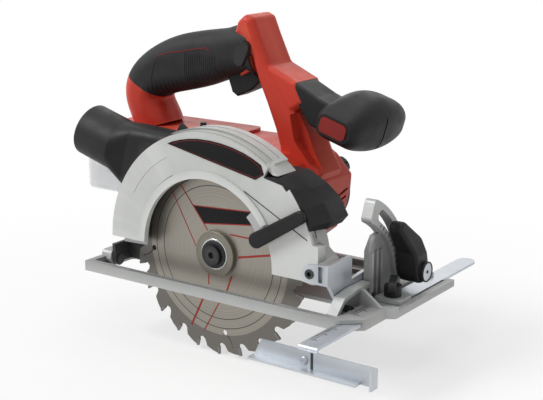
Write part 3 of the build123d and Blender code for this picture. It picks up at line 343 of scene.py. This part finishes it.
def plate(name, points, depth, width=0.0002):
    """Flat plate from a closed line of points, thickened towards -Y by a depth in metres, with soft edges."""
    def build(bm):
        face = bm.faces.new([bm.verts.new(p) for p in points])
        grown = bmesh.ops.extrude_face_region(bm, geom=[face])["geom"]
        moved = [g for g in grown if isinstance(g, bmesh.types.BMVert)]
        bmesh.ops.translate(bm, verts=moved, vec=Vector((0, -depth, 0)))
    piece = add_mesh(name, build)
    modifier = piece.modifiers.new("edges", "BEVEL")
    modifier.width = width
    modifier.segments = 2
    modifier.limit_method = "ANGLE"
    return piece


def lines(name, paths, radius, cyclic=False):
    """Round lines through points, all in one curve."""
    curve = bpy.data.curves.new(name, "CURVE")
    curve.dimensions = "3D"
    curve.bevel_depth = radius
    curve.bevel_resolution = 2
    curve.use_fill_caps = True
    for path in paths:
        spline = curve.splines.new("POLY")
        spline.points.add(len(path) - 1)
        for point, place in zip(spline.points, path):
            point.co = (*place, 1)
        spline.use_cyclic_u = cyclic
    piece = bpy.data.objects.new(name, curve)
    bpy.context.scene.collection.objects.link(piece)
    return piece


def polar(r, angle):
    """Point of the blade's plane at a radius and an angle, in millimetres."""
    return r * cos(radians(angle)), r * sin(radians(angle))


def arc_points(r, y, start, end, step=2):
    """Points along an arc about the arbor."""
    return [at(polar(r, a)[0], y, polar(r, a)[1]) for a in range(start, end, step)]


def lathe(name, centre, axis_x, profile, steps=32):
    """Turned piece about an axis along X or Y, from radius and height pairs in millimetres."""
    def build(bm):
        rows = []
        for r, h in profile:
            row = []
            for step in range(steps):
                u, v = polar(r, 360 * step / steps)
                offset = (h, u, v) if axis_x else (u, -h, v)
                row.append(bm.verts.new(at(*(c + o for c, o in zip(centre, offset)))))
            rows.append(row)
        for first, second in zip(rows, rows[1:]):
            for k in range(steps):
                n = (k + 1) % steps
                bm.faces.new((first[k], first[n], second[n], second[k]))
        bm.faces.new(rows[0])
        bm.faces.new(rows[-1])
    piece = add_mesh(name, build)
    for face in piece.data.polygons:
        face.use_smooth = len(face.vertices) == 4
    return piece


# Label, lines and ridges of the guard, in millimetres

GUARD_FACE = -14.0
LABEL_DEPTH = 0.0006
LABEL_INSET = 1.3
LABEL_TOP = ((44.0, 82.3), (36.2, 85.4), (26.0, 88.2), (15.3, 90.1), (4.6, 91.0), (-6.2, 91.0),
             (-16.0, 89.9), (-24.0, 88.2))
FOLD = ((36.2, 57.0), (91.8, 28.7))


def label_outline(inset):
    """Bare label on the guard: a long straight lower edge, a slanted end and a rounded top."""
    rear = (-36.0 + 3.2 * inset, 83.9 + 0.2 * inset)
    front = [(46.3 - 0.3 * inset, 67.0 + inset), (54.0 - inset, 71.6), (51.5 - inset, 78.6 - inset)]
    top = [(x, z - inset) for x, z in LABEL_TOP]
    return [rear] + front + top + [(-31.5 + 1.6 * inset, 86.0 - 0.7 * inset)]


film = plate("label_film", [at(x, GUARD_FACE + 0.1, z) for x, z in label_outline(0)], LABEL_DEPTH)
finish_piece(film, "saw", LABEL_FILM)
border = [at(x, GUARD_FACE - 0.45, z) for x, z in label_outline(LABEL_INSET)]
finish_piece(lines("label_line", [border], PRINT_R, True), "saw", RED_THREAD)
arc = lines("guard_line", [arc_points(82.5, GUARD_FACE, 117, 153)], CREASE_R)
finish_piece(arc, "saw", LOOKS["guard_paint"])
# Painted shade: black lines along the window ring's outer step and the fold, where shade falls
crease_shade_paths = [arc_points(67.2, GUARD_FACE, 118, 179), [at(x, GUARD_FACE, z) for x, z in FOLD]]
finish_piece(lines("guard_crease_shade", crease_shade_paths, CREASE_R), "saw", LOOKS["black_plastic"])
# Ridges on the hood's rim, drawn in a darker grey as painted shade of its steps
ridges = [arc_points(96.0, -10.8, 56, 120), arc_points(97.6, -5.0, 56, 117), arc_points(97.6, 4.0, 56, 117)]
finish_piece(lines("hood_ridges", ridges, RIDGE_R), "saw", HOOD_PAINTED_SHADE)
seam = lines("guard_seam", [arc_points(96.0, -2.0, 3, 23)], RIDGE_R)
finish_piece(seam, "saw", LOOKS["black_plastic"])


# Fence rivet, and a thin black strip beside it: painted shadow in the fence's fold

FENCE_FACE = -74.5
RIVET_HEAD = [(3.2, 0), (3.1, 0.7), (2.6, 1.2), (1.6, 1.5), (0.6, 1.5), (0.4, 1.2)]
SHADOW_STRIP_DEPTH = 0.00025
SHADOW_STRIP_EDGE = 0.00005
SHADOW_STRIP_CORNERS = ((135.4, -26.4), (137.4, -26.4), (137.4, -38.2), (135.4, -38.2))

rivet = lathe("fence_rivet", (130.1, FENCE_FACE, -33.1), False, RIVET_HEAD)
finish_piece(rivet, "fence", LOOKS["zinc_steel"])
# Painted shadow: a black strip on the plate where the fold's shadow falls
shadow_strip = plate("fence_painted_shadow", [at(x, FENCE_FACE - 0.05, z) for x, z in SHADOW_STRIP_CORNERS], SHADOW_STRIP_DEPTH, SHADOW_STRIP_EDGE)
finish_piece(shadow_strip, "fence", LOOKS["black_steel"])


# End of the bevel bolt in the clamp, and the bright ring under the blade bolt

BOLT_END = (143.0, 72.51, -7.75)
CLAMP_RIM = [(7.7, -2.4), (7.9, -1.0), (7.9, 0.2), (7.5, 0.5), (6.9, 0.4), (6.8, -0.2)]
CLAMP_DOT = [(1.3, -0.2), (1.3, 0.3), (0.9, 0.5), (0.3, 0.5)]
RING_CENTRE = (0, -4.2, 0)
RING = [(12.3, 0), (12.3, 0.35), (12.0, 0.5), (11.1, 0.5), (10.9, 0.3)]

rim = lathe("clamp_rim", BOLT_END, True, CLAMP_RIM)
finish_piece(rim, "tilt", LOOKS["black_plastic"])
dot = lathe("clamp_dot", BOLT_END, True, CLAMP_DOT)
finish_piece(dot, "tilt", LOOKS["black_steel"])
washer = lathe("bolt_ring", RING_CENTRE, False, RING)
finish_piece(washer, "blade", LOOKS["bright_steel"])


# Printed lines and band on the blade, with depths in metres

BLADE_FACE = -0.55
STRIPE_DEPTH = 0.0001
BAND_DEPTH = 0.00008
PRINT_EDGE = 0.00001
BAND = ((-23.3, 34.5), (36.9, 37.9), (42.1, 28.6), (-12.1, 21.7))
BAND_EDGE_WIDTH = 0.9
STRIPES = (
    ((-14.0, -38.5), (-26.5, -64.0), 1.7),
    ((2.0, -39.0), (-13.8, -66.0), 1.0),
    ((20.0, 0.0), (58.0, 8.8), 1.7),
    ((-20.7, 2.1), (-43.9, 43.6), 0.9),
    ((-9.0, 16.9), (-35.4, 49.9), 1.1),
    ((13.8, -16.0), (9.0, -29.0), 1.6),
    ((12.5, 17.0), (32.0, 16.8), 1.2),
    ((-8.5, -18.0), (-8.7, -27.0), 1.2),
)


def printed(name, corners, depth, material):
    """Thin print on the near face of the blade."""
    points = [at(x, BLADE_FACE + 0.05, z) for x, z in corners]
    finish_piece(plate(name, points, depth, PRINT_EDGE), "blade", material)


def stripe(name, start, end, width):
    """Printed red bar from one place to another."""
    way = Vector((end[0] - start[0], end[1] - start[1])).normalized() * width / 2
    side = Vector((-way.y, way.x))
    corners = [(start[0] + side.x, start[1] + side.y), (end[0] + side.x, end[1] + side.y),
               (end[0] - side.x, end[1] - side.y), (start[0] - side.x, start[1] - side.y)]
    printed(name, corners, STRIPE_DEPTH, RED_PRINT)


for number, (start, end, width) in enumerate(STRIPES):
    stripe(f"blade_stripe_{number}", start, end, width)
printed("blade_band", BAND, BAND_DEPTH, LABEL_FILM)
for number, (start, end) in enumerate(((BAND[0], BAND[1]), (BAND[3], BAND[2]))):
    stripe(f"band_edge_{number}", start, end, BAND_EDGE_WIDTH)


# Lines and ribs on the grip, and the front handle's joint, in millimetres

PANEL_TOP = ((-90.9, 139.7), (-84.0, 142.4), (-78.7, 143.8), (-71.0, 145.0), (-64.3, 146.0), (-57.0, 147.5),
             (-50.3, 148.9), (-41.0, 150.3), (-37.6, 148.0))
PANEL_END = ((-98.5, 114.7), (-97.6, 120.0), (-96.4, 126.0), (-94.3, 133.0), (-90.9, 139.7))
BRIDGE = ((-19.5, 128.6), (-16.0, 129.8), (-12.0, 131.4), (-8.0, 133.0), (-4.0, 134.6), (-1.0, 135.8))
RIB_LOW, RIB_HIGH, RIB_STEPS = 122, 145, 10
RIB_COUNT, RIB_X, RIB_PITCH = 17, -63, 1.9
HANDLE_SEAM = 69.6
FAR_OUT = 200


def on_face(node_name, starts, way):
    """Places where lines from points in millimetres first meet a solid."""
    hits = [nodes[node_name].ray_cast(at(*start), Vector(way)) for start in starts]
    return [place for hit, place, _, _ in hits if hit]


def on_grip(points):
    """Places on the grip's near face seen along +Y."""
    return on_face("grip_right", [(x, -FAR_OUT, z) for x, z in points], (0, 1, 0))


finish_piece(lines("grip_line", [on_grip(PANEL_TOP)], THREAD_R), "saw", RED_THREAD)
panel_end = lines("grip_seam", [on_grip(PANEL_END)], THREAD_R)
finish_piece(panel_end, "saw", LOOKS["black_plastic"])
heights = [RIB_LOW + (RIB_HIGH - RIB_LOW) * k / RIB_STEPS for k in range(RIB_STEPS + 1)]
rib_paths = [on_grip([(RIB_X + RIB_PITCH * number, z) for z in heights]) for number in range(RIB_COUNT)]
finish_piece(lines("grip_ribs", rib_paths, RIDGE_R), "saw", LOOKS["black_rubber"])
# Red strip of the housing that shows between the grip and the trigger
bridge = lines("trigger_bridge", [on_grip(BRIDGE)], BRIDGE_R)
finish_piece(bridge, "saw", LOOKS["red_plastic"])
joint = on_face("front_handle", [(FAR_OUT, HANDLE_SEAM, z) for z in range(82, 107, 2)], (-1, 0, 0))
finish_piece(lines("handle_seam", [joint], CREASE_R), "saw", DEEP_BLACK)


# Angle scale on the quadrant, marks on the shoe's nose and on the fence bar, in millimetres and degrees

BEVEL_Z = -22.5
QUAD_FACE = 121.0
SCALE_R, SCALE_LONG_R, SCALE_SHORT_R = 65.8, 69.2, 68.0
SCALE_START, SCALE_PITCH, SCALE_COUNT = 14, 4.5, 10
NOSE_TOP = -20.3
NOSE_X, NOSE_LONG_X, NOSE_SHORT_X = 126, 133, 130
NOSE_Y, NOSE_PITCH, NOSE_COUNT = -9, 2.6, 8
BAR_TOP = -23.4
BAR_X, BAR_LONG_X, BAR_SHORT_X = 124.8, 131, 128.5
BAR_Y, BAR_PITCH, BAR_COUNT = -60, 2.5, 15

scale_paths = []
for number in range(SCALE_COUNT):
    angle = SCALE_START + SCALE_PITCH * number
    ends = (polar(SCALE_R, angle), polar(SCALE_LONG_R if number % 2 == 0 else SCALE_SHORT_R, angle))
    scale_paths.append([at(QUAD_FACE, y, z + BEVEL_Z) for y, z in ends])
for number in range(NOSE_COUNT):
    y = NOSE_Y + NOSE_PITCH * number
    end = NOSE_LONG_X if number % 4 == 0 else NOSE_SHORT_X
    scale_paths.append([at(NOSE_X, y, NOSE_TOP), at(end, y, NOSE_TOP)])
finish_piece(lines("scale_marks", scale_paths, MARK_R), "base", LOOKS["black_plastic"])
bar_paths = []
for number in range(BAR_COUNT):
    y = BAR_Y + BAR_PITCH * number
    end = BAR_LONG_X if number % 5 == 0 else BAR_SHORT_X
    bar_paths.append([at(BAR_X, y, BAR_TOP), at(end, y, BAR_TOP)])
finish_piece(lines("bar_marks", bar_paths, MARK_R), "fence", LOOKS["black_steel"])


# Camera, at the photo's angle

LENS, SENSOR = 79.56, 36.0
CAMERA_PLACE = (544.4, -696.4, 270.7)
AZIMUTH, ELEVATION = radians(35.33), radians(14.52)

camera = bpy.data.objects.new("camera", bpy.data.cameras.new("camera"))
bpy.context.scene.collection.objects.link(camera)
camera.data.lens = LENS
camera.data.sensor_width = SENSOR
camera.data.clip_start = 0.01
camera.location = at(*CAMERA_PLACE)
back = Vector((sin(AZIMUTH) * cos(ELEVATION), -cos(AZIMUTH) * cos(ELEVATION), sin(ELEVATION)))
camera.rotation_mode = "QUATERNION"
camera.rotation_quaternion = (-back).to_track_quat("-Z", "Y")
bpy.context.scene.camera = camera


# Light, with places and sizes in metres

CENTRE = (0.0, 0.0, 0.08)
LAMPS = (
    ("front", (1.3, -0.6, 0.7), 0.8, 1.2),
    ("top", (0.0, 0.1, 1.5), 1.0, 5.5),
    ("rear", (-0.6, 1.1, 0.9), 0.9, 2),
)
KEY_POWER = 2.1
KEY_ANGLE = radians(24)
KEY_WAY = (0.95, 0.87, -1.2)
FILL = 0.24


def area_light(name, place, size, power):
    """Soft square light aimed at the object's middle."""
    data = bpy.data.lights.new(name, "AREA")
    data.size = size
    data.energy = power
    light = bpy.data.objects.new(name, data)
    light.location = place
    light.rotation_mode = "QUATERNION"
    light.rotation_quaternion = (Vector(CENTRE) - Vector(place)).to_track_quat("-Z", "Y")
    bpy.context.scene.collection.objects.link(light)


for lamp in LAMPS:
    area_light(*lamp)
key = bpy.data.objects.new("key", bpy.data.lights.new("key", "SUN"))
key.data.energy = KEY_POWER
key.data.angle = KEY_ANGLE
key.rotation_mode = "QUATERNION"
key.rotation_quaternion = Vector(KEY_WAY).to_track_quat("-Z", "Y")
bpy.context.scene.collection.objects.link(key)


def background_ray(tree):
    """One for rays that see the background directly, in metal or through clear plastic, else zero."""
    path = tree.nodes.new("ShaderNodeLightPath")
    mirror = math_node(tree, "MAXIMUM", path.outputs["Is Glossy Ray"], path.outputs["Is Transmission Ray"])
    return math_node(tree, "MAXIMUM", path.outputs["Is Camera Ray"], mirror)


world = bpy.data.worlds.new("studio")
world.use_nodes = True
backdrop = world.node_tree.nodes["Background"]
backdrop.inputs["Color"].default_value = (1, 1, 1, 1)
strength = remap(world.node_tree, background_ray(world.node_tree), FILL, 1.0, 0.0, 1.0)
world.node_tree.links.new(strength, backdrop.inputs["Strength"])
bpy.context.scene.world = world


# Floor, in metres: where its own glow is least and where it is all white, and how far it reaches

FLOOR_NEAR, FLOOR_FAR = 0.15, 0.5
FLOOR_GLOW = 0.62
FLOOR_REACH = 14.0
FLOOR_GAP = 0.0005


def floor_material():
    """Pale floor round the object that runs out into the white background."""
    material = surface("floor", (0.93, 0.93, 0.928), 0.8, grain=200.0, vary=0.01, shine=0.1)
    tree = material.node_tree
    coords = tree.nodes.new("ShaderNodeTexCoord").outputs["Object"]
    length = tree.nodes.new("ShaderNodeVectorMath")
    length.operation = "LENGTH"
    tree.links.new(coords, length.inputs[0])
    far = remap(tree, length.outputs["Value"], FLOOR_GLOW, 1.0, FLOOR_NEAR, FLOOR_FAR)
    glow = tree.nodes.new("ShaderNodeEmission")
    glow.inputs["Color"].default_value = (1, 1, 1, 1)
    mix = tree.nodes.new("ShaderNodeMixShader")
    tree.links.new(math_node(tree, "MULTIPLY", far, background_ray(tree)), mix.inputs["Fac"])
    tree.links.new(tree.nodes["Principled BSDF"].outputs["BSDF"], mix.inputs[1])
    tree.links.new(glow.outputs["Emission"], mix.inputs[2])
    tree.links.new(mix.outputs["Shader"], tree.nodes["Material Output"].inputs["Surface"])
    return material


floor_mesh = bpy.data.meshes.new("floor")
floor_z = cad_low.z - FLOOR_GAP
corners = [(FLOOR_REACH * x, FLOOR_REACH * y, floor_z) for x, y in ((-1, -1), (1, -1), (1, 1), (-1, 1))]
floor_mesh.from_pydata(corners, [], [(0, 1, 2, 3)])
floor = bpy.data.objects.new("floor", floor_mesh)
bpy.context.scene.collection.objects.link(floor)
floor_mesh.materials.append(floor_material())

scene = bpy.context.scene
scene.view_settings.view_transform = "Standard"
